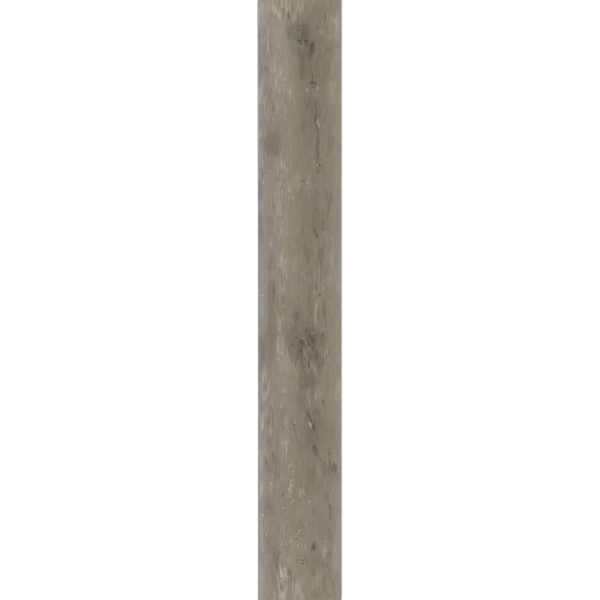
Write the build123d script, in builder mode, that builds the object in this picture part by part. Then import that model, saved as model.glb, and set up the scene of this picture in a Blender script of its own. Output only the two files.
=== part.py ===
"""Rigid core vinyl plank: one floor board with a click profile milled along all four edges.

Millimetres. The board lies flat with its printed face up (+Z) and its length along Y.
The origin is on the underside, below the middle of the face.
"""

import os

from build123d import *

# The visible face, which is also the pitch at which boards are laid
face_width = 210.0
face_length = 1510.0
thickness = 5.0

# Painted bevel round the face
bevel_width = 0.7
bevel_drop = 0.4

# Tongue, milled on the left and near edges; heights are above the underside
tongue_reach = 2.4
tongue_top = 3.2
tongue_tip_low = 1.8
tongue_tip_radius = 0.5
tongue_belly = 1.0
belly_radius = 1.2

# Locking recess under the tongue's edge; reaches are inward from the face's edge
lock_foot = 0.6
lock_head = 1.4
lock_foot_radius = 0.25
recess_top = 1.9
recess_reach = 4.4
cutter_radius = 0.2

# Room between two boards that are clicked together
joint_clearance = 0.05
tip_gap = 0.2
lip_gap = 0.3

# Locking lip, milled on the right and far edges to fill a neighbour's recess
lip_reach = recess_reach - lip_gap
lip_top_radius = 0.4
lip_foot_radius = 0.15


def tongue_edge(edge):
    """The tongue's corners from the underside up to the face, as (across, height, radius)."""
    return [
        (edge + recess_reach, 0, 0),
        (edge + recess_reach, recess_top, cutter_radius),
        (edge + lock_head, recess_top, cutter_radius),
        (edge + lock_foot, tongue_belly, lock_foot_radius),
        (edge, tongue_belly, belly_radius),
        (edge - tongue_reach, tongue_tip_low, tongue_tip_radius),
        (edge - tongue_reach, tongue_top, tongue_tip_radius),
        (edge, tongue_top, 0),
        (edge, thickness - bevel_drop, 0),
        (edge + bevel_width, thickness, 0),
    ]


def groove_edge(edge):
    """The corners from the face down to the underside, shaped round a neighbour's tongue edge."""
    pocket = edge - tongue_reach - tip_gap
    dip = tongue_belly - joint_clearance
    lip_top = recess_top - joint_clearance
    return [
        (edge - bevel_width, thickness, 0),
        (edge, thickness - bevel_drop, 0),
        (edge, tongue_top + joint_clearance, 0),
        (pocket, tongue_top + joint_clearance, cutter_radius),
        (pocket, tongue_tip_low - joint_clearance, cutter_radius),
        (edge - joint_clearance, dip, belly_radius + joint_clearance),
        (edge + lock_foot + joint_clearance, dip, lock_foot_radius + joint_clearance),
        (edge + lock_head + joint_clearance, lip_top, cutter_radius),
        (edge + lip_reach, lip_top, lip_top_radius),
        (edge + lip_reach, 0, lip_foot_radius),
    ]


def click_section(plane, face_span):
    """The board's section across one pair of edges, tongue on the low side and lip on the high."""
    corners = tongue_edge(-face_span / 2) + groove_edge(face_span / 2)
    points = [(across, height) for across, height, radius in corners]
    radii = [radius for across, height, radius in corners]
    with BuildSketch(plane) as section:
        with BuildLine():
            FilletPolyline(*points, radius=radii, close=True)
        make_face()
    return section.sketch


# The long edges are milled along the whole board, and then the short edges across it
cut_past_lips = 2 * lip_reach
with BuildPart() as plank:
    extrude(click_section(Plane.XZ, face_width), amount=face_length / 2 + cut_past_lips, both=True)
    extrude(
        click_section(Plane.YZ, face_length),
        amount=face_width / 2 + cut_past_lips,
        both=True,
        mode=Mode.INTERSECT,
    )
    # Where a tongue crosses a lip, the second cut frees a crumb, which falls off
    add(plank.solids().sort_by(SortBy.VOLUME)[-1], mode=Mode.REPLACE)

plank.part.label = "plank"
os.makedirs("parts", exist_ok=True)
export_step(plank.part, "parts/plank.step")
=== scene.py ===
from math import cos, pi, radians, sin

import bmesh
import bpy
import numpy as np
from mathutils import Matrix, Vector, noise


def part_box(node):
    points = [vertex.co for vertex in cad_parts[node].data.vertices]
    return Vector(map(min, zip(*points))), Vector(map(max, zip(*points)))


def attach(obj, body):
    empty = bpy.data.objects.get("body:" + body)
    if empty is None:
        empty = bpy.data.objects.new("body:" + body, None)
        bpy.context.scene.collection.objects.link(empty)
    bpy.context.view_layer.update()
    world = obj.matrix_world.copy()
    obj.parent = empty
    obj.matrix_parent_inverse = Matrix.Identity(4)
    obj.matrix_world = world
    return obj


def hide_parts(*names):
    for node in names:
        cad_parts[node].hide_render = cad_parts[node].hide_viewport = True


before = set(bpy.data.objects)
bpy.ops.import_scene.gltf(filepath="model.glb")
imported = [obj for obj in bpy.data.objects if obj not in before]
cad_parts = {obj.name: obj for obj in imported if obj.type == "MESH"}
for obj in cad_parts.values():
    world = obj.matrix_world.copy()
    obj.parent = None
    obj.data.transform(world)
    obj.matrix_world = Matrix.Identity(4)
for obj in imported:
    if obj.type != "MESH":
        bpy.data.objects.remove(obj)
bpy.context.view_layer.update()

# The scene is in metres; places on the board are in millimetres from the middle of its face
MM = 0.001
weld = 0.001 * MM
board_low, board_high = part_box("plank")
scene = bpy.context.scene

# Grid that the grain is pressed into, finer across the board than along it
grid_across = 216
grid_along = 440

# Embossing: a pitch is across the grain and a run is along it. A pore opens where its noise is past
# pore_start, and all of the relief fades out at the face's rim.
ridge_pitch, ridge_run, ridge_depth = 7.0, 150.0, 0.07
pore_pitch, pore_run, pore_depth = 2.4, 26.0, 0.1
pore_start = 0.2
check_depth = 0.2
knot_depth = 0.12
rim_fade = 1.5

# Knots that the grain flows round, as (across, along, half width, half length)
knots = [
    (20, 645, 38, 70),
    (21, -113, 56, 120),
    (37, -375, 20, 45),
    (36, -624, 16, 36),
]
# The grain is pushed aside as far out as this many half widths, by up to this share of the way
knot_reach = 1.6
knot_spread = 0.55

# Marks of the print, as (across, along, half width, half length, lean in degrees, strength)
upper_knot = [
    (-3, 674, 42, 32, 0, 0.35),
    (15, 667, 16, 24, 0, 0.35),
    (8, 634, 38, 34, 0, 0.25),
    (31, 634, 8, 20, 0, 0.6),
    (14, 592, 24, 54, 0, 0.4),
    (72, 628, 17, 13, 0, 0.25),
    (52, 578, 26, 54, 0, 0.25),
    (22, 465, 30, 100, 0, 0.14),
]
lower_knot = [
    (-6, -36, 15, 30, 0, 0.25),
    (20, -68, 24, 20, 0, 0.36),
    (26, -96, 38, 26, 0, 0.42),
    (20, -128, 28, 40, 0, 0.38),
    (-8, -132, 22, 30, 0, 0.46),
    (48, -157, 14, 38, 12, 0.46),
    (1, -102, 11, 10, 0, 0.4),
    (34, -97, 13, 17, 0, 0.28),
    (-18, -86, 18, 30, 0, 0.25),
    (6, -168, 13, 16, 0, 0.35),
    (17, -202, 26, 26, 0, 0.46),
    (4, -245, 13, 36, 0, 0.3),
    (8, -345, 32, 40, 0, 0.15),
]
heartwood = [
    # Round the long check
    (30, 480, 22, 60, 0, 0.26),
    (50, 470, 12, 60, 0, 0.25),
    (41, 455, 8, 12, 0, 0.4),
    (10, 440, 8, 34, 0, 0.25),
    (14, 400, 30, 40, 0, 0.06),
    (11, 382, 12, 26, 0, 0.14),
    (45, 375, 6, 70, 0, 0.3),
    (66, 455, 4, 16, 0, 0.4),
    (75, 395, 12, 24, 0, 0.25),
    (78, 450, 14, 40, 0, 0.12),
    (57, 330, 10, 24, 0, 0.25),
    (66, 270, 5, 18, 0, 0.35),
    (74, 250, 13, 30, 0, 0.35),
    (41, 267, 7, 9, 0, 0.4),
    (5, 262, 14, 30, 0, 0.1),
    # Between the knots and beside the lower one
    (30, 220, 44, 70, 0, 0.14),
    (48, 190, 26, 40, 0, 0.15),
    (38, 172, 9, 22, 20, 0.35),
    (10, 145, 26, 40, 0, 0.2),
    (18, 112, 14, 26, 0, 0.35),
    (38, -168, 14, 22, 0, 0.16),
    (50, 105, 13, 36, 0, 0.4),
    (18, 70, 7, 14, 0, 0.35),
    (40, 30, 20, 24, 0, 0.2),
    (26, -15, 8, 55, 0, 0.4),
    (63, -35, 9, 34, 0, 0.35),
    (-8, -40, 12, 28, 0, 0.4),
    (-10, -85, 18, 34, 0, 0.25),
    (-45, -75, 64, 105, 0, 0.2),
    (-95, -130, 17, 56, 0, 0.4),
    (-40, 20, 30, 60, 0, 0.1),
    (-80, 5, 10, 40, 0, 0.15),
    (-80, -100, 14, 50, 0, 0.15),
    (-103, -180, 9, 40, 0, 0.25),
    (66, -104, 20, 50, 0, 0.25),
    (64, 185, 18, 50, 0, 0.18),
    (72, 215, 12, 34, 0, 0.15),
    (-99, 265, 10, 50, 0, 0.25),
    (-100, 185, 11, 50, 0, 0.4),
    # Below the lower knot
    (12, -280, 28, 64, 0, 0.12),
    (-55, -345, 18, 26, 0, 0.15),
    (-52, -432, 28, 34, 0, 0.14),
    (-74, -506, 20, 30, 0, 0.12),
    (24, -293, 9, 24, 22, 0.5),
    (36, -325, 9, 18, 12, 0.5),
    (30, -355, 20, 40, 0, 0.12),
    (37, -375, 10, 17, 0, 0.5),
    (40, -350, 34, 70, 0, 0.15),
    (76, -387, 7, 14, 0, 0.4),
    (56, -402, 7, 20, 35, 0.35),
    (76, -427, 20, 24, 0, 0.4),
    (83, -418, 9, 24, 26, 0.42),
    (88, -440, 12, 26, 0, 0.15),
    (84, -345, 12, 34, 0, 0.12),
    (62, -427, 8, 22, 0, 0.3),
    (30, -440, 16, 36, 0, 0.3),
    (20, -480, 10, 30, 0, 0.2),
    (60, -257, 7, 9, 0, 0.4),
    (77, -525, 7, 24, 0, 0.4),
    (66, -498, 7, 10, 0, 0.35),
    (38, -535, 10, 24, 0, 0.2),
    (78, -590, 7, 30, 0, 0.25),
    # Near end
    (36, -622, 13, 18, 0, 0.45),
    (35, -624, 8, 10, 0, 0.5),
    (70, -640, 5, 22, -28, 0.3),
    (16, -650, 9, 14, 0, 0.35),
    (30, -690, 9, 26, 0, 0.25),
    (63, -715, 12, 40, 0, 0.3),
    (-60, -650, 12, 50, 0, 0.3),
    (-58, -676, 6, 16, 0, 0.35),
    # Left side of the far half
    (-28, 690, 8, 26, 0, 0.25),
    (-85, 575, 9, 12, 0, 0.4),
    (-100, 585, 9, 36, 0, 0.2),
    (-67, 484, 6, 14, 0, 0.4),
    (-48, 430, 14, 34, 0, 0.12),
    (-68, 372, 26, 18, 0, 0.25),
    (-85, 366, 5, 18, 0, 0.35),
]
olive_heartwood = [
    (46, 652, 20, 20, 0, 0.3),
    (6, 585, 8, 34, 0, 0.35),
    (-70, 396, 32, 40, 0, 0.45),
    (52, 110, 12, 40, 0, 0.25),
    (-72, 86, 14, 10, 0, 0.4),
    (62, -30, 10, 40, 0, 0.25),
    (42, -288, 15, 18, 0, 0.35),
    (62, -330, 26, 54, 0, 0.22),
    (-62, -400, 12, 28, 0, 0.4),
    (-59, -425, 5, 8, 0, 0.4),
    (42, -660, 30, 34, 0, 0.25),
    (-25, -687, 8, 10, 0, 0.35),
    (40, -742, 18, 18, 0, 0.2),
    (30, -300, 30, 40, 0, 0.2),
]
red_wood = [
    (-12, 690, 26, 34, 0, 0.25),
    (22, 692, 34, 30, 0, 0.3),
    (80, 722, 20, 20, 0, 0.35),
    (75, 585, 11, 34, 0, 0.35),
    (60, 490, 13, 90, 0, 0.35),
    (72, 400, 18, 50, 0, 0.35),
    (76, 330, 14, 60, 0, 0.25),
    (-60, 262, 16, 38, 0, 0.08),
    (-78, 205, 14, 20, 0, 0.3),
    (-78, 165, 14, 26, 0, 0.3),
    (-72, 102, 14, 16, 0, 0.35),
    (-75, 62, 11, 18, 0, 0.35),
    (-70, 20, 12, 50, 0, 0.4),
    (-72, -60, 16, 110, 0, 0.4),
    (-72, -150, 14, 50, 0, 0.35),
    (-77, -230, 9, 50, 0, 0.35),
    (-42, -235, 16, 26, 0, 0.3),
    (-76, -290, 9, 40, 0, 0.35),
    (-45, -300, 14, 36, 0, 0.25),
    (-78, -360, 10, 26, 0, 0.4),
    (-75, -440, 12, 46, 0, 0.4),
    (-78, -513, 14, 9, 0, 0.5),
    (-76, -526, 17, 20, 0, 0.45),
    (-42, -520, 14, 34, 0, 0.25),
    (-8, -556, 24, 34, 0, 0.18),
    (-78, -615, 11, 40, 0, 0.35),
    (-28, -630, 16, 34, 0, 0.3),
    (-76, -705, 17, 48, 0, 0.4),
    (-40, -725, 18, 36, 0, 0.25),
    (0, -715, 14, 30, 0, 0.2),
]
sapwood = [
    (-76, 713, 16, 20, 0, 0.35),
    (20, 740, 40, 22, 0, 0.2),
    (-85, 565, 12, 30, 0, 0.3),
    (-75, 462, 14, 18, 0, 0.3),
    (-20, 487, 16, 24, 0, 0.4),
    (89, 480, 11, 180, 0, 0.4),
    (90, 310, 10, 100, 0, 0.35),
    (-30, 320, 26, 50, 0, 0.12),
    (-80, 250, 8, 30, 0, 0.25),
    (-40, 116, 22, 24, 0, 0.4),
    (-22, 155, 14, 34, 0, 0.3),
    (65, 120, 16, 26, 0, 0.25),
    (-50, -30, 13, 70, 0, 0.25),
    (44, -20, 10, 40, 0, 0.25),
    (90, -80, 10, 60, 0, 0.45),
    (91, -170, 9, 30, 0, 0.45),
    (55, -235, 18, 34, 0, 0.25),
    (-20, -345, 10, 40, 0, 0.25),
    (57, -364, 12, 34, 0, 0.4),
    (-48, -568, 18, 18, 0, 0.3),
    (-12, -684, 7, 18, 0, 0.35),
    (12, -500, 24, 30, 0, 0.15),
]
mineral_stain = [
    (-88, 718, 10, 18, 0, 0.25),
    (5, 640, 18, 24, 0, 0.5),
    (-85, 400, 8, 18, 0, 0.35),
    (72, 236, 7, 16, 0, 0.35),
    (-70, 126, 14, 14, 0, 0.3),
    (-97, -115, 9, 34, 0, 0.3),
    (-57, -236, 5, 18, 0, 0.35),
    (-56, -284, 8, 24, 0, 0.3),
    (-38, -344, 10, 14, 0, 0.3),
    (-42, -478, 14, 20, 0, 0.4),
    (-62, -640, 13, 46, 0, 0.35),
    (0, -650, 15, 24, 0, 0.45),
    (-60, -600, 16, 18, 0, 0.2),
]
blue_stain = [
    (-100, 660, 9, 90, 0, 0.3),
    (-98, 570, 9, 26, 0, 0.2),
    (-74, 515, 16, 18, 0, 0.3),
    (-96, 460, 9, 34, 0, 0.4),
    (-78, 428, 18, 14, 0, 0.25),
    (-94, 310, 14, 46, 0, 0.2),
    (-102, 262, 5, 34, 0, 0.5),
    (22, 272, 9, 18, 0, 0.35),
    (-101, 130, 7, 60, 0, 0.35),
    (4, 58, 14, 11, 0, 0.35),
    (96, 110, 10, 80, 0, 0.3),
    (-97, -30, 8, 60, 0, 0.3),
    (53, -166, 13, 30, 0, 0.25),
    (30, -190, 18, 16, 0, 0.2),
    (20, -218, 14, 34, 0, 0.2),
    (8, -265, 14, 60, 0, 0.2),
    (-98, -260, 8, 60, 0, 0.4),
    (85, -498, 9, 24, 0, 0.2),
    (48, -536, 12, 26, 0, 0.25),
    (64, 100, 22, 110, 0, 0.18),
    (66, -610, 22, 100, 0, 0.18),
    (18, -585, 14, 16, 0, 0.25),
]
limed_wood = [
    # Far end
    (-5, 765, 110, 50, 0, 0.12),
    (-80, 742, 28, 26, 0, 0.35),
    (-72, 695, 40, 70, 0, 0.14),
    (-101, 730, 9, 50, 0, 0.3),
    (94, 690, 14, 56, 0, 0.2),
    (-57, 722, 9, 24, 38, 0.45),
    (-13, 712, 9, 18, 0, 0.35),
    (0, 738, 13, 18, 0, 0.3),
    (-38, 748, 14, 26, 0, 0.4),
    (-56, 672, 22, 80, 0, 0.14),
    (86, 694, 16, 36, 0, 0.2),
    (92, 616, 14, 26, 0, 0.16),
    (-96, 690, 10, 60, 0, 0.2),
    (-68, 574, 16, 60, 0, 0.25),
    (-25, 528, 15, 28, 0, 0.22),
    (-45, 595, 34, 76, 0, 0.13),
    (-50, 560, 12, 40, 0, 0.12),
    (-53, 507, 9, 40, 0, 0.32),
    (84, 530, 11, 34, 0, 0.2),
    (-98, 522, 9, 34, 0, 0.4),
    (-100, 405, 6, 30, 0, 0.4),
    (47, 442, 4, 15, 10, 0.35),
    (-48, 350, 6, 40, 0, 0.15),
    (-26, 285, 15, 34, 0, 0.1),
    (-3, 300, 12, 34, 0, 0.18),
    (26, 285, 12, 30, 0, 0.12),
    (72, 712, 12, 20, 0, 0.18),
    (-58, 262, 13, 34, 0, 0.25),
    # Between the knots and beside the lower one
    (-52, 222, 13, 26, 0, 0.12),
    (-94, 225, 5, 22, 0, 0.25),
    (-72, 143, 6, 18, 0, 0.35),
    (-46, 172, 9, 14, 0, 0.3),
    (-43, 104, 16, 26, 0, 0.15),
    (-37, 70, 6, 24, 0, 0.22),
    (-9, 78, 14, 28, 0, 0.13),
    (100, 75, 8, 90, 0, 0.2),
    (-52, -62, 8, 26, 0, 0.4),
    (-50, -110, 12, 50, 0, 0.3),
    (-35, -160, 24, 34, 0, 0.22),
    (-98, -15, 7, 40, 0, 0.18),
    (39, -36, 7, 38, 0, 0.3),
    (82, 110, 7, 60, 0, 0.15),
    (76, -98, 11, 26, 0, 0.1),
    (72, 46, 12, 24, 0, 0.14),
    # Below the lower knot
    (-93, -205, 9, 30, 0, 0.4),
    (-79, -226, 8, 26, 0, 0.4),
    (-41, -227, 12, 11, 0, 0.35),
    (26, -254, 5, 20, 0, 0.2),
    (46, -236, 11, 18, 0, 0.2),
    (-37, -358, 11, 32, 0, 0.25),
    (-96, -300, 7, 34, 0, 0.25),
    (96, -235, 7, 40, 0, 0.25),
    (47, -435, 10, 17, 0, 0.12),
    (30, -522, 50, 44, 0, 0.12),
    (-97, -398, 6, 40, 0, 0.3),
    (-97, -470, 6, 40, 0, 0.5),
    (-72, -462, 5, 14, 0, 0.4),
    (-22, -466, 9, 16, 0, 0.3),
    (6, -484, 13, 13, 0, 0.2),
    (-5, -545, 10, 34, 0, 0.14),
    (-97, -556, 9, 30, 0, 0.3),
    (87, -498, 12, 30, 0, 0.14),
    (88, -604, 12, 34, 0, 0.14),
    # Near end
    (15, -770, 120, 110, 0, 0.12),
    (26, -650, 60, 130, 0, 0.14),
    (99, -610, 8, 150, 0, 0.15),
    (-98, -715, 13, 60, 0, 0.35),
    (-95, -600, 6, 34, 0, 0.35),
    (60, -636, 11, 17, 0, 0.35),
    (88, -650, 10, 50, 0, 0.25),
    (-50, -684, 8, 40, 0, 0.42),
    (-40, -718, 9, 34, 0, 0.24),
    (-42, -740, 14, 30, 0, 0.3),
    (-65, -742, 8, 20, 0, 0.3),
    (-3, -720, 9, 40, 0, 0.1),
    (-20, -620, 6, 20, 0, 0.25),
    (-32, -650, 28, 26, 0, 0.16),
    (-80, -708, 12, 40, 0, 0.22),
    (-2, -746, 16, 24, 0, 0.28),
]
checks = [
    # Upper knot
    (-1, 652, 8, 4, 0, 0.85),
    (2, 646, 3, 6, 0, 0.7),
    (15, 652, 7, 4, 0, 0.85),
    (29, 632, 6, 20, 0, 0.5),
    (33, 642, 7, 4, 0, 0.7),
    (-4, 679, 6, 4, 0, 0.4),
    (65, 712, 3, 22, 0, 0.4),
    (44, 685, 4, 12, 0, 0.35),
    (-27, 715, 3, 9, 0, 0.45),
    (-43, 732, 5, 5, 0, 0.45),
    (32, 562, 3, 14, 0, 0.5),
    (30, 547, 7, 9, 0, 0.6),
    (37, 545, 8, 5, -20, 0.55),
    (35, 535, 7, 3, 0, 0.6),
    # Long check
    (39, 492, 4, 16, 0, 0.35),
    (42, 474, 3, 16, 0, 0.4),
    (40, 455, 6, 14, 0, 0.45),
    (43, 434, 5, 16, 15, 0.42),
    (46, 396, 5, 52, 0, 0.28),
    (46, 352, 4, 30, 0, 0.28),
    (50, 340, 3, 5, 0, 0.9),
    (46, 324, 4, 10, 0, 0.45),
    (19, 487, 2, 7, 0, 0.5),
    (9, 300, 3, 4, 0, 0.5),
    (2, 299, 3, 4, 0, 0.5),
    # Between the knots
    (38, 174, 4, 14, 20, 0.32),
    (44, 160, 4, 9, 25, 0.32),
    (58, 181, 4, 4, 0, 0.5),
    (42, 226, 2, 7, 0, 0.5),
    (57, 196, 2, 7, 0, 0.45),
    (-65, 18, 5, 34, 0, 0.28),
    (50, 13, 4, 7, 0, 0.6),
    (-5, 5, 4, 6, 0, 0.35),
    (-76, -43, 3, 9, 0, 0.25),
    # Lower knot
    (16, -76, 7, 12, 0, 0.3),
    (26, -83, 4, 6, 0, 0.3),
    (5, -105, 12, 12, 0, 0.45),
    (33, -98, 11, 14, 0, 0.25),
    (25, -112, 7, 5, 0, 0.6),
    (32, -104, 4, 8, 0, 0.45),
    (4, -128, 5, 5, 0, 0.7),
    (0, -128, 11, 11, 0, 0.3),
    (12, -149, 4, 4, 0, 0.65),
    (32, -124, 4, 10, 0, 0.5),
    (58, -88, 4, 9, 0, 0.55),
    (-9, -95, 4, 6, 0, 0.45),
    (-18, -113, 8, 4, 0, 0.35),
    (23, -165, 3, 16, 0, 0.7),
    (26, -143, 3, 14, 20, 0.4),
    # Below the lower knot
    (23, -290, 4, 16, 25, 0.6),
    (29, -303, 4, 4, 0, 0.9),
    (35, -320, 4, 14, 18, 0.72),
    (38, -307, 2, 6, 65, 0.55),
    (-14, -313, 6, 4, 0, 0.55),
    (-22, -324, 4, 3, 0, 0.4),
    (36, -370, 6, 3, 0, 0.75),
    (41, -380, 3, 10, 0, 0.5),
    (42, -345, 2, 8, 0, 0.5),
    (75, -387, 4, 7, 0, 0.5),
    (-84, -407, 3, 12, 20, 0.45),
    (-68, -389, 3, 8, 0, 0.4),
    (88, -432, 5, 10, 35, 0.12),
    (-42, -488, 3, 7, 0, 0.45),
    (77, -548, 2, 7, 0, 0.75),
    (76, -520, 3, 12, 0, 0.4),
    (58, -256, 4, 6, 0, 0.4),
    # Near end
    (35, -624, 7, 8, 0, 0.48),
    (8, -654, 5, 3, 0, 0.8),
    (8, -662, 5, 3, 0, 0.75),
    (67, -669, 2, 6, 0, 0.65),
    (-46, -700, 3, 4, 0, 0.6),
    (-42, -719, 3, 4, 0, 0.5),
    (-20, -702, 2, 6, 0, 0.5),
    (85, -713, 2, 11, 0, 0.4),
]
lime_flecks = [
    # Far end
    (-81, 642, 3, 40, 0, 0.45),
    (-81, 668, 2, 12, 0, 0.4),
    (-54, 639, 2, 7, 0, 0.65),
    (77, 661, 3, 8, 0, 0.4),
    (87, 700, 2, 8, 0, 0.45),
    (54, 672, 3, 9, 0, 0.35),
    (-25, 734, 2, 11, 0, 0.5),
    (18, 528, 3, 7, 0, 0.75),
    (45, 533, 4, 7, -20, 0.5),
    (-25, 523, 4, 10, 0, 0.5),
    (-38, 555, 4, 7, 0, 0.45),
    (-87, 470, 2, 18, 0, 0.45),
    (-35, 480, 3, 18, 0, 0.3),
    (48, 440, 3, 8, 15, 0.4),
    (45, 340, 3, 4, 0, 0.6),
    (-46, 337, 2, 7, 0, 0.6),
    (-39, 336, 2, 7, 0, 0.45),
    (-91, 296, 2, 7, 0, 0.75),
    (-49, 292, 2, 12, 0, 0.6),
    (19, 294, 4, 4, 0, 0.45),
    (15, 284, 3, 4, 0, 0.35),
    (-27, 277, 3, 9, 0, 0.45),
    (-27, 256, 2, 7, 0, 0.45),
    (-17, 257, 2, 7, 0, 0.45),
    # Between the knots
    (-44, 196, 2, 7, 0, 0.55),
    (-48, 216, 3, 6, 0, 0.5),
    (-30, 169, 4, 5, 0, 0.45),
    (67, 151, 2, 12, 0, 0.45),
    (-46, 104, 2, 18, 0, 0.45),
    (-36, 96, 3, 7, 0, 0.4),
    (-29, 96, 2, 7, 0, 0.4),
    (-21, 96, 2, 7, 0, 0.4),
    (-52, 88, 8, 4, 0, 0.35),
    (6, 66, 2, 6, 0, 0.45),
    (14, 56, 2, 6, 0, 0.4),
    (38, 22, 3, 10, 0, 0.35),
    (43, 18, 3, 5, 0, 0.4),
    (-95, 12, 8, 3, 0, 0.6),
    # Beside and in the lower knot
    (-44, -46, 2, 8, 0, 0.65),
    (-49, -58, 3, 8, -30, 0.4),
    (-52, -72, 3, 10, 0, 0.4),
    (-54, -122, 3, 22, 0, 0.55),
    (-46, -135, 3, 5, 0, 0.9),
    (-54, -148, 3, 8, 0, 0.55),
    (30, -83, 3, 4, 0, 0.4),
    (15, -107, 3, 14, 30, 0.25),
    (24, -122, 3, 9, 25, 0.2),
    (13, -134, 3, 18, 16, 0.25),
    (36, -170, 6, 20, 34, 0.15),
    (5, -95, 8, 3, 0, 0.25),
    (63, -135, 2, 16, 0, 0.4),
    (69, -131, 2, 13, 0, 0.4),
    # Below the lower knot
    (26, -313, 3, 13, 25, 0.75),
    (-13, -308, 2, 9, 0, 0.6),
    (-94, -318, 3, 13, 0, 0.75),
    (-73, -332, 2, 10, 0, 0.7),
    (-47, -266, 2, 7, 0, 0.5),
    (-37, -358, 3, 7, 0, 0.5),
    (-25, -416, 5, 5, 0, 0.45),
    (-24, -465, 3, 11, 0, 0.55),
    (-21, -480, 2, 6, 0, 0.6),
    (-28, -475, 3, 5, 0, 0.5),
    (-71, -461, 3, 6, 0, 0.55),
    (-97, -472, 3, 16, 0, 0.4),
    (2, -487, 2, 7, 0, 0.6),
    (24, -508, 5, 5, 0, 0.5),
    (-16, -505, 5, 4, 0, 0.4),
    (-93, -541, 4, 7, 0, 0.6),
    (85, -475, 2, 7, 0, 0.45),
    # Near end
    (-84, -588, 2, 7, 0, 0.65),
    (-5, -618, 2, 7, 0, 0.6),
    (-25, -608, 4, 4, 0, 0.45),
    (-45, -616, 2, 14, 0, 0.4),
    (-1, -580, 3, 5, 0, 0.5),
    (64, -607, 3, 6, 0, 0.35),
    (-38, -676, 3, 5, 0, 0.9),
    (-36, -690, 2, 12, 0, 0.5),
    (-44, -712, 3, 18, 10, 0.5),
    (-46, -738, 3, 16, 0, 0.45),
]

# Where open pores show as streaks and where they crumble, marked the same way
streaked = [
    (-40, 735, 44, 48, 0, 0.75),
    (15, 745, 30, 30, 0, 0.4),
    (65, 690, 26, 50, 0, 0.3),
    (-82, 660, 18, 70, 0, 0.35),
    (-50, 545, 30, 85, 0, 0.55),
    (-90, 480, 16, 70, 0, 0.4),
    (-95, 350, 14, 70, 0, 0.4),
    (-44, 320, 24, 70, 0, 0.5),
    (-58, 225, 30, 70, 0, 0.55),
    (62, 140, 26, 60, 0, 0.4),
    (-38, 70, 26, 70, 0, 0.45),
    (45, 45, 34, 60, 0, 0.5),
    (86, 50, 18, 70, 0, 0.3),
    (-45, 0, 24, 70, 0, 0.45),
    (45, -25, 16, 60, 0, 0.5),
    (-50, -100, 14, 70, 0, 0.5),
    (72, -140, 22, 40, 0, 0.5),
    (-92, -220, 20, 120, 0, 0.6),
    (-74, -290, 18, 90, 0, 0.5),
    (-42, -290, 24, 60, 0, 0.3),
    (22, -235, 18, 40, 0, 0.5),
    (-15, -340, 28, 60, 0, 0.35),
    (-40, -375, 24, 45, 0, 0.5),
    (-60, -440, 28, 45, 0, 0.4),
    (-90, -580, 16, 60, 0, 0.4),
    (64, -670, 14, 26, 0, 0.4),
    (-44, -705, 24, 80, 0, 0.95),
    (-6, -720, 28, 65, 0, 0.6),
    (30, -705, 22, 55, 0, 0.28),
    (80, -720, 22, 45, 0, 0.3),
]
crumbled = [
    (-26, 275, 22, 40, 0, 0.38),
    (-32, 165, 22, 40, 0, 0.5),
    (60, 185, 14, 24, 0, 0.5),
    (32, -88, 18, 18, 0, 0.6),
    (66, -418, 10, 16, 0, 0.5),
    (-24, -450, 18, 60, 0, 0.52),
    (8, -492, 26, 28, 0, 0.6),
    (-32, -522, 26, 46, 0, 0.6),
    (-5, -590, 34, 44, 0, 0.5),
    (-45, -620, 30, 44, 0, 0.5),
    (66, -607, 12, 16, 0, 0.5),
    (-42, -690, 16, 40, 0, 0.5),
]

# Tones across the face, as (across, shade)
bands = [
    (-105, "#8F8E8C"),
    (-99, "#8E8B86"),
    (-90, "#8D877C"),
    (-76, "#888074"),
    (-42, "#8B8375"),
    (-17, "#867E70"),
    (0, "#81796A"),
    (31, "#7D7566"),
    (59, "#817969"),
    (84, "#878071"),
    (96, "#898376"),
    (105, "#8B867D"),
]

# Stains, each laid over the ones before it, with the share of each mark over which it fades
stains = [
    (sapwood, "#8A8460", 0.7),
    (red_wood, "#7F6A60", 0.7),
    (mineral_stain, "#747B69", 0.7),
    (blue_stain, "#79737A", 0.7),
    (limed_wood, "#B3A99B", 0.6),
    (upper_knot, "#5E564A", 0.4),
    (lower_knot, "#5E564A", 0.24),
    (heartwood, "#5E564A", 0.7),
    (olive_heartwood, "#605A46", 0.6),
]

# How far a stain wanders from its place, and how far the fibres feather its ends
wander_pitch, wander_run = 16.0, 60.0
wander_across, wander_along = 6.0, 14.0
feather_pitch, feather_run, feather_along = 4.0, 70.0, 22.0

# Share of a check, a fleck or a zone of pores over which it fades, and how open pores are elsewhere
mark_fade = 0.8
stray_pores = 0.06

# The board's finishes, in the order of its slots
film, bevel, core, back = 0, 1, 2, 3

# Film and bevel lie within this depth of the top; the height of a face's normal tells which one it is
face_depth = 0.5 * MM
film_tilt, bevel_tilt, back_tilt = 0.93, 0.5, -0.99
sharp_angle = 28

# Where the layout of the surface has each finish, as shares of a square
layout_margin = 0.004
face_left, face_spread = 0.004, 0.786
back_left, back_spread = 0.8, 0.08
strips_left, strip_spread = 0.89, 0.0066
strip_margin = 0.1
milled_reach = 12 * MM

# Sockets of a mix node: its share, the two colours and their result, and the two numbers of a plain mix
MIX_SHARE, UNDER, OVER, MIXED = 0, 6, 7, 2
NUMBER_UNDER, NUMBER_OVER = 2, 3

# Floor, with the distances in millimetres between which its own glow grows
floor_reach = 20.0
floor_gap = 0.1 * MM
glow_near, glow_far = 1000, 8000

# Shares of white that the fill and the lamp give a white face lying flat
fill_share = 0.2
key_share = 0.8
key_place = (-0.3, 0, 5.2)
key_width, key_length = 2.0, 3.0

# The photo shows this much of the face's length, and its middle is a little right of the face's
view_length = 1.5085
view_right = 0.58 * MM
sensor_width = 36
focal_length = 100

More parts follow.
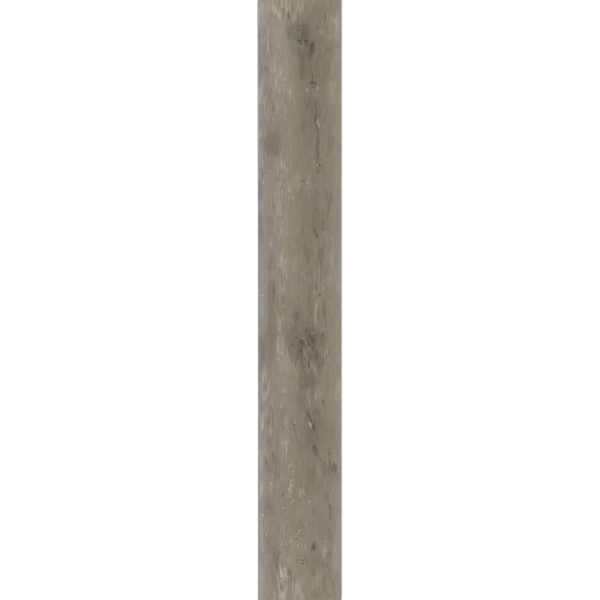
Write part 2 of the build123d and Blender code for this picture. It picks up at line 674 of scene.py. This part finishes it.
def linear(shade):
    """A colour written as sRGB hex, as linear red, green, blue and alpha."""
    parts = [int(shade[i:i + 2], 16) / 255 for i in (1, 3, 5)]
    return [p / 12.92 if p <= 0.04045 else ((p + 0.055) / 1.055) ** 2.4 for p in parts] + [1]

def put(tree, kind, links, **settings):
    """Adds a node. Each of its inputs takes a value, or another node's output to link."""
    node = tree.nodes.new(kind)
    for name, value in settings.items():
        setattr(node, name, value)
    for socket, value in links.items():
        if isinstance(value, bpy.types.NodeSocket):
            tree.links.new(value, node.inputs[socket])
        else:
            node.inputs[socket].default_value = value
    return node

def oval(across, along, mark):
    """How far inside an oval mark each place is: 1 in the middle, 0 from its edge outwards."""
    middle_across, middle_along, half_width, half_length, lean = mark
    turn = radians(lean)
    off_across, off_along = across - middle_across, along - middle_along
    width_share = (off_across * cos(turn) + off_along * sin(turn)) / half_width
    length_share = (off_along * cos(turn) - off_across * sin(turn)) / half_length
    return np.clip(1 - np.hypot(width_share, length_share), 0, 1)

def grain_flow(across, along):
    """Where each place of the face would lie if the grain ran straight, with no knots to pass."""
    straight = across.copy()
    for middle_across, middle_along, half_width, half_length in knots:
        near = oval(across, along, (middle_across, middle_along, knot_reach * half_width, half_length, 0))
        straight -= knot_spread * (across - middle_across) * near ** 2
    return straight

def uneven(straight, along, pitch, run, layer):
    """Noise from -1 to 1 at each place, with its pitch across the grain and its run along it.

    Each layer is a noise of its own.
    """
    return np.array([noise.noise((s / pitch, y / run, layer)) for s, y in zip(straight, along)])

def emboss(across, along, straight):
    """Depth pressed into the face at each place."""
    ridges = uneven(straight, along, ridge_pitch, ridge_run, layer=0)
    pores = uneven(straight, along, pore_pitch, pore_run, layer=5)
    depth = ridge_depth * (0.5 - 0.5 * ridges) + pore_depth * np.clip(pores - pore_start, 0, 1)
    for *mark, strength in checks:
        depth += check_depth * strength * oval(across, along, mark)
    # The heart of a knot, a third of its size, is a dip
    for middle_across, middle_along, half_width, half_length in knots:
        heart = (middle_across, middle_along, half_width / 3, half_length / 3, 0)
        depth += knot_depth * oval(across, along, heart)
    return depth

def mark_strength(across, along, marks, fade):
    """How strongly oval marks show at each place: evenly inside, and less towards their edges."""
    total = np.zeros(len(across))
    for *mark, strength in marks:
        share = np.clip(oval(across, along, mark) / fade, 0, 1)
        total += strength * share * share * (3 - 2 * share)
    return np.clip(total, 0, 1)

def stain_print(across, along, straight):
    """The print's tone at each place, and how far its pores streak and crumble there."""
    drift_across = wander_across * uneven(straight, along, wander_pitch, wander_run, layer=9)
    drift_along = wander_along * uneven(straight, along, wander_pitch, wander_run, layer=14)
    feather = feather_along * uneven(straight, along, feather_pitch, feather_run, layer=3)
    across = across + drift_across
    along = along + drift_along + feather
    stops = np.array([at for at, shade in bands])
    shades = np.array([linear(shade) for at, shade in bands])
    tones = np.column_stack([np.interp(across, stops, channel) for channel in shades.T])
    for marks, shade, fade in stains:
        strength = mark_strength(across, along, marks, fade)[:, None]
        tones += strength * (np.array(linear(shade)) - tones)
    streak_share = mark_strength(across, along, streaked, mark_fade)
    crumb_share = mark_strength(across, along, crumbled, mark_fade)
    return tones, streak_share, crumb_share

def shape_plank():
    """The board as the CAD has it, its flat face parted into a grid, and the face's far right corner."""
    shape = bmesh.new()
    shape.from_mesh(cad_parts["plank"].data)
    bmesh.ops.remove_doubles(shape, verts=shape.verts, dist=weld)
    top = board_high.z - weld
    flat_face = [f for f in shape.faces if all(v.co.z > top for v in f.verts)]
    bmesh.ops.delete(shape, geom=flat_face, context="FACES")
    rim = [e for e in shape.edges if e.is_boundary]
    corner = max((v.co.copy() for e in rim for v in e.verts), key=lambda co: co.x + co.y)
    long_rim = [e for e in rim if abs(e.verts[0].co.y - e.verts[1].co.y) > corner.y]
    short_rim = [e for e in rim if e not in long_rim]
    bmesh.ops.subdivide_edges(shape, edges=long_rim, cuts=grid_along - 1)
    bmesh.ops.subdivide_edges(shape, edges=short_rim, cuts=grid_across - 1)
    place = Matrix.Translation((0, 0, board_high.z)) @ Matrix.Diagonal((corner.x, corner.y, 1, 1))
    bmesh.ops.create_grid(shape, x_segments=grid_across, y_segments=grid_along, size=1, matrix=place)
    bmesh.ops.remove_doubles(shape, verts=[v for v in shape.verts if v.co.z > top], dist=5 * weld)
    mesh = bpy.data.meshes.new("plank_body")
    shape.to_mesh(mesh)
    shape.free()
    return mesh, corner

def press_grain(mesh, corner):
    """Presses the grain into the face, and keeps on each point its grain, its depth and its print."""
    spots = np.zeros(len(mesh.vertices) * 3)
    mesh.vertices.foreach_get("co", spots)
    spots = spots.reshape(-1, 3)
    on_face = spots[:, 2] > board_high.z - weld
    across, along = spots[:, 0] / MM, spots[:, 1] / MM
    straight = grain_flow(across, along)
    depth = np.zeros(len(spots))
    depth[on_face] = emboss(across[on_face], along[on_face], straight[on_face])
    to_rim = np.minimum(corner.x / MM - abs(across), corner.y / MM - abs(along))
    depth *= np.clip(to_rim / rim_fade, 0, 1)
    spots[:, 2] -= depth * MM
    mesh.vertices.foreach_set("co", spots.ravel())
    tones, streak_share, crumb_share = stain_print(across, along, straight)
    kept = [
        ("grain", "FLOAT_VECTOR", "vector", np.column_stack((straight, along, 0 * along))),
        ("pressed", "FLOAT", "value", depth),
        ("stain", "FLOAT_COLOR", "color", tones),
        ("streaked", "FLOAT", "value", streak_share),
        ("crumbled", "FLOAT", "value", crumb_share),
    ]
    for name, kind, field, values in kept:
        mesh.attributes.new(name, kind, "POINT").data.foreach_set(field, values.ravel())

def mark_field(tree, spot, marks):
    """Marks finer than the grid, drawn by nodes: how strongly they show at each place."""
    total = 0.0
    for across, along, half_width, half_length, lean, strength in marks:
        place = put(tree, "ShaderNodeMapping", {
            "Vector": spot,
            "Location": (across, along, 0),
            "Rotation": (0, 0, radians(lean)),
            "Scale": (half_width, half_length, 1),
        }, vector_type="TEXTURE")
        inside = put(tree, "ShaderNodeTexGradient", {"Vector": place.outputs[0]}, gradient_type="SPHERICAL")
        faded = put(tree, "ShaderNodeMapRange", {
            "Value": inside.outputs["Fac"],
            "From Max": mark_fade,
            "To Max": strength,
        }, interpolation_type="SMOOTHSTEP")
        total = put(tree, "ShaderNodeMath", {0: faded.outputs[0], 1: total}, operation="ADD").outputs[0]
    return total

def grain_noise(tree, grain, pitch, run, detail, seed):
    """Noise drawn out along the grain, with its pitch across and its run along, in millimetres."""
    place = put(tree, "ShaderNodeMapping", {
        "Vector": grain,
        "Location": (seed, seed, 0),
        "Scale": (1 / pitch, 1 / run, 0),
    })
    drawn = put(tree, "ShaderNodeTexNoise", {
        "Vector": place.outputs[0],
        "Scale": 1,
        "Detail": detail,
    }, noise_dimensions="2D")
    return drawn.outputs["Fac"]

def start_material(name):
    """A new material with its node tree, its surface, and places on the object in millimetres."""
    material = bpy.data.materials.new(name)
    material.use_nodes = True
    tree = material.node_tree
    place = put(tree, "ShaderNodeTexCoord", {})
    spot = put(tree, "ShaderNodeVectorMath", {
        0: place.outputs["Object"],
        1: (1 / MM, 1 / MM, 1 / MM),
    }, operation="MULTIPLY")
    return material, tree, tree.nodes["Principled BSDF"], spot.outputs[0]

def printed_oak_film():
    """Oak-print vinyl film under a matt urethane wear layer, embossed in register.

    The print gives grey-brown limed oak with dark knots; the wear layer gives a soft, even sheen.
    """
    material, tree, surface, spot = start_material("printed_oak_film")
    flat = put(tree, "ShaderNodeVectorMath", {0: spot, 1: (1, 1, 0)}, operation="MULTIPLY").outputs[0]
    grain = put(tree, "ShaderNodeAttribute", {}, attribute_name="grain").outputs["Vector"]
    tones = []

    # Open pores, pale where the liming filled them and dark where it did not
    for zone, pitch, run, seed in (("streaked", 5.5, 34, 23.7), ("crumbled", 3.6, 7, 57.3)):
        marked = put(tree, "ShaderNodeAttribute", {}, attribute_name=zone)
        openness = put(tree, "ShaderNodeMath", {0: marked.outputs["Fac"], 1: stray_pores}, operation="ADD")
        tone = put(tree, "ShaderNodeMapRange", {
            "Value": grain_noise(tree, grain, pitch, run, detail=1, seed=seed),
            "From Min": 0.3,
            "From Max": 0.7,
            "To Min": 0.66,
            "To Max": 1.39,
        })
        tones.append(put(tree, "ShaderNodeMix", {
            MIX_SHARE: openness.outputs[0],
            NUMBER_UNDER: 1.0,
            NUMBER_OVER: tone.outputs[0],
        }))

    # Fine fibres, which show from close by
    fibres = grain_noise(tree, grain, pitch=2.2, run=40, detail=2, seed=31.9)
    tones.append(put(tree, "ShaderNodeMapRange", {
        "Value": fibres,
        "From Min": 0.25,
        "From Max": 0.75,
        "To Min": 0.91,
        "To Max": 1.09,
    }))

    # Pricked pores: short dark ticks, drawn about twice as wide as real ones so that they show
    prick = put(tree, "ShaderNodeMapRange", {
        "Value": grain_noise(tree, grain, pitch=0.8, run=9, detail=0, seed=77.1),
        "From Min": 0.58,
        "From Max": 0.7,
    }).outputs[0]
    tones.append(put(tree, "ShaderNodeMapRange", {"Value": prick, "To Min": 1.025, "To Max": 0.84}))

    # The print is darker where the plate pressed deeper
    pressed = put(tree, "ShaderNodeAttribute", {}, attribute_name="pressed")
    tones.append(put(tree, "ShaderNodeMapRange", {
        "Value": pressed.outputs["Fac"],
        "From Max": 0.12,
        "To Min": 1.095,
        "To Max": 0.945,
    }))

    # The stained wood takes all these tones, and then its checks and lime flecks
    wood = put(tree, "ShaderNodeAttribute", {}, attribute_name="stain").outputs["Color"]
    for tone in tones:
        wood = put(tree, "ShaderNodeMix", {
            MIX_SHARE: 1.0,
            UNDER: wood,
            OVER: tone.outputs[0],
        }, data_type="RGBA", blend_type="MULTIPLY").outputs[MIXED]
    for marks, shade in ((checks, "#3F392F"), (lime_flecks, "#BFB6A7")):
        wood = put(tree, "ShaderNodeMix", {
            MIX_SHARE: mark_field(tree, flat, marks),
            UNDER: wood,
            OVER: linear(shade),
        }, data_type="RGBA").outputs[MIXED]
    tree.links.new(wood, surface.inputs["Base Color"])
    surface.inputs["Specular IOR Level"].default_value = 0.2

    # Raised fibres are a little glossier, and pricked pores are sunk deeper than the fibres stand
    sheen = put(tree, "ShaderNodeMapRange", {
        "Value": fibres,
        "From Min": 0.25,
        "From Max": 0.75,
        "To Min": 0.66,
        "To Max": 0.52,
    })
    tree.links.new(sheen.outputs[0], surface.inputs["Roughness"])
    prick_depth = 1.6
    height = put(tree, "ShaderNodeMath", {0: prick, 1: -prick_depth, 2: fibres}, operation="MULTIPLY_ADD")
    relief = put(tree, "ShaderNodeBump", {
        "Strength": 0.6,
        "Distance": 0.05 * MM,
        "Height": height.outputs[0],
    })
    tree.links.new(relief.outputs[0], surface.inputs["Normal"])
    return material

def sprayed_bevel_paint():
    """Grey-brown acrylic sprayed on the cut bevel: matt, and a little uneven where the coat runs thin."""
    material, tree, surface, spot = start_material("sprayed_bevel_paint")
    patch = 8.3  # millimetres
    coat = put(tree, "ShaderNodeTexNoise", {"Vector": spot, "Scale": 1 / patch, "Detail": 3})
    shade = put(tree, "ShaderNodeMix", {
        MIX_SHARE: coat.outputs["Fac"],
        UNDER: linear("#7A7368"),
        OVER: linear("#989185"),
    }, data_type="RGBA")
    tree.links.new(shade.outputs[MIXED], surface.inputs["Base Color"])
    surface.inputs["Roughness"].default_value = 0.6
    return material

def milled_core():
    """Limestone-filled rigid vinyl as the cutters leave it: pale, matt, with faint lines along the cut."""
    material, tree, surface, spot = start_material("milled_limestone_vinyl")
    line_length, line_width, speck = 90, 0.5, 1.1  # millimetres
    place = put(tree, "ShaderNodeMapping", {
        "Vector": spot,
        "Scale": (1 / line_length, 1 / line_length, 1 / line_width),
    })
    cuts = put(tree, "ShaderNodeTexNoise", {"Vector": place.outputs[0], "Scale": 1, "Detail": 2})
    body = put(tree, "ShaderNodeMix", {
        MIX_SHARE: cuts.outputs["Fac"],
        UNDER: linear("#F3F1ED"),
        OVER: linear("#FBFAF8"),
    }, data_type="RGBA")
    specks = put(tree, "ShaderNodeTexNoise", {"Vector": spot, "Scale": 1 / speck, "Detail": 1})
    amount = put(tree, "ShaderNodeMapRange", {
        "Value": specks.outputs["Fac"],
        "From Min": 0.6,
        "From Max": 0.75,
        "To Max": 0.35,
    })
    filled = put(tree, "ShaderNodeMix", {
        MIX_SHARE: amount.outputs[0],
        UNDER: body.outputs[MIXED],
        OVER: linear("#DCD8D0"),
    }, data_type="RGBA")
    tree.links.new(filled.outputs[MIXED], surface.inputs["Base Color"])
    rough = put(tree, "ShaderNodeMapRange", {"Value": cuts.outputs["Fac"], "To Min": 0.6, "To Max": 0.8})
    tree.links.new(rough.outputs[0], surface.inputs["Roughness"])
    return material

def calendered_back():
    """Rigid vinyl back as the rolls leave it: pale, with faint lines, a pebble and a dull sheen."""
    material, tree, surface, spot = start_material("calendered_vinyl_back")
    cloud, pebble = 50, 2  # millimetres
    lines = grain_noise(tree, spot, pitch=5, run=400, detail=2, seed=12.5)
    clouds = put(tree, "ShaderNodeTexNoise", {"Vector": spot, "Scale": 1 / cloud, "Detail": 3})
    shade = put(tree, "ShaderNodeMix", {
        MIX_SHARE: clouds.outputs["Fac"],
        UNDER: linear("#D6D2C9"),
        OVER: linear("#E6E3DC"),
    }, data_type="RGBA")
    drawn = put(tree, "ShaderNodeMapRange", {
        "Value": lines,
        "From Min": 0.3,
        "From Max": 0.7,
        "To Min": 0.95,
        "To Max": 1.03,
    })
    body = put(tree, "ShaderNodeMix", {
        MIX_SHARE: 1.0,
        UNDER: shade.outputs[MIXED],
        OVER: drawn.outputs[0],
    }, data_type="RGBA", blend_type="MULTIPLY")
    tree.links.new(body.outputs[MIXED], surface.inputs["Base Color"])
    rough = put(tree, "ShaderNodeMapRange", {"Value": lines, "To Min": 0.42, "To Max": 0.6})
    tree.links.new(rough.outputs[0], surface.inputs["Roughness"])
    pebbles = put(tree, "ShaderNodeTexNoise", {"Vector": spot, "Scale": 1 / pebble, "Detail": 1})
    relief = put(tree, "ShaderNodeBump", {
        "Strength": 0.6,
        "Distance": 0.15 * MM,
        "Height": pebbles.outputs["Fac"],
    })
    tree.links.new(relief.outputs[0], surface.inputs["Normal"])
    return material

def lay_out(mesh, corner):
    """Lays the surface out flat for a texture: the face, the back, and a strip for each milled side."""
    places = mesh.uv_layers.new(name="OFBake").uv
    span = board_high - board_low
    for face in mesh.polygons:
        on_end = abs(face.center.y) > corner.y
        facing = face.normal.y if on_end else face.normal.x
        side = face.center.y if on_end else face.center.x
        steep = abs(facing) > abs(face.normal.z)
        turned = facing if steep else face.normal.z
        # Sixteen strips: by end or side, low or high, steep or level, and the way the face turns
        strip = 8 * on_end + 4 * (side > 0) + 2 * steep + (turned > 0)
        for loop in face.loop_indices:
            spot = mesh.vertices[mesh.loops[loop].vertex_index].co
            across, along = (spot.x - board_low.x) / span.x, (spot.y - board_low.y) / span.y
            if face.material_index in (film, bevel):
                at = face_left + face_spread * across
            elif face.material_index == back:
                at = back_left + back_spread * across
            else:
                from_rim = abs(spot.y) - corner.y if on_end else abs(spot.x) - corner.x
                up = spot.z / span.z if steep else 0.5 + from_rim / milled_reach
                at = strips_left + strip_spread * (strip + strip_margin + (1 - 2 * strip_margin) * up)
            run = across if on_end and face.material_index == core else along
            places[loop].vector = (at, layout_margin + (1 - 2 * layout_margin) * run)

def plank_piece():
    """The dressed board, which stands for the CAD's plank."""
    mesh, corner = shape_plank()
    press_grain(mesh, corner)
    mesh.materials.clear()
    for material in (printed_oak_film(), sprayed_bevel_paint(), milled_core(), calendered_back()):
        mesh.materials.append(material)
    for face in mesh.polygons:
        near_top = face.center.z > board_high.z - face_depth
        if near_top and face.normal.z > film_tilt:
            face.material_index = film
        elif near_top and face.normal.z > bevel_tilt:
            face.material_index = bevel
        elif face.normal.z < back_tilt and face.center.z < board_low.z + weld:
            face.material_index = back
        else:
            face.material_index = core
    lay_out(mesh, corner)
    mesh.shade_smooth()
    mesh.set_sharp_from_angle(angle=radians(sharp_angle))
    piece = bpy.data.objects.new("plank_board", mesh)
    scene.collection.objects.link(piece)
    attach(piece, "root")
    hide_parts("plank")

def backdrop_rays(tree):
    """1 for a ray that sees the backdrop straight, in a gloss or through glass, and 0 for the rest."""
    rays = put(tree, "ShaderNodeLightPath", {})
    seen = 0.0
    for kind in ("Is Camera Ray", "Is Glossy Ray", "Is Transmission Ray"):
        seen = put(tree, "ShaderNodeMath", {0: rays.outputs[kind], 1: seen}, operation="MAXIMUM").outputs[0]
    return seen

def lay_floor():
    """White floor that keeps the board's shadow, and glows more where the lamp's light fades out."""
    mesh = bpy.data.meshes.new("floor")
    corners = [(x * floor_reach, y * floor_reach, 0) for x, y in ((-1, -1), (1, -1), (1, 1), (-1, 1))]
    mesh.from_pydata(corners, [], [(0, 1, 2, 3)])
    floor = bpy.data.objects.new("floor", mesh)
    floor.location.z = -floor_gap
    scene.collection.objects.link(floor)
    material, tree, surface, spot = start_material("white_floor")
    surface.inputs["Base Color"].default_value = linear("#E6E6E6")
    surface.inputs["Roughness"].default_value = 0.9
    away = put(tree, "ShaderNodeVectorMath", {0: spot}, operation="LENGTH")
    lift = put(tree, "ShaderNodeMapRange", {
        "Value": away.outputs["Value"],
        "From Min": glow_near,
        "From Max": glow_far,
        "To Min": 0.35,
        "To Max": 0.9,
    })
    glow = put(tree, "ShaderNodeMath", {0: backdrop_rays(tree), 1: lift.outputs[0]}, operation="MULTIPLY")
    surface.inputs["Emission Color"].default_value = linear("#FFFFFF")
    tree.links.new(glow.outputs[0], surface.inputs["Emission Strength"])
    mesh.materials.append(material)

def light_studio():
    """White backdrop with an even fill, and a wide lamp overhead."""
    world = bpy.data.worlds.new("studio")
    world.use_nodes = True
    scene.world = world
    tree = world.node_tree
    backdrop = tree.nodes["Background"]
    backdrop.inputs["Color"].default_value = linear("#FFFFFF")
    level = put(tree, "ShaderNodeMapRange", {
        "Value": backdrop_rays(tree),
        "To Min": fill_share,
        "To Max": 1.0,
    })
    tree.links.new(level.outputs[0], backdrop.inputs["Strength"])
    lamp = bpy.data.lights.new("key", "AREA")
    lamp.shape = "RECTANGLE"
    lamp.size, lamp.size_y = key_width, key_length
    key = bpy.data.objects.new("key", lamp)
    key.location = key_place
    key.rotation_euler = key.location.to_track_quat("Z", "Y").to_euler()
    # Power at which a white face lying flat below the lamp shows the key's share of white
    distance = key.location.length
    lamp.energy = key_share * pi ** 2 * distance ** 2 / (key.location.z / distance)
    scene.collection.objects.link(key)

def place_camera():
    """A camera straight above the face, framed as the photo is."""
    lens = bpy.data.cameras.new("camera")
    lens.sensor_width = sensor_width
    lens.lens = focal_length
    camera = bpy.data.objects.new("camera", lens)
    camera.location = (view_right, 0, board_high.z + view_length * focal_length / sensor_width)
    scene.collection.objects.link(camera)
    scene.camera = camera

plank_piece()
lay_floor()
light_studio()
place_camera()
scene.view_settings.view_transform = "Standard"
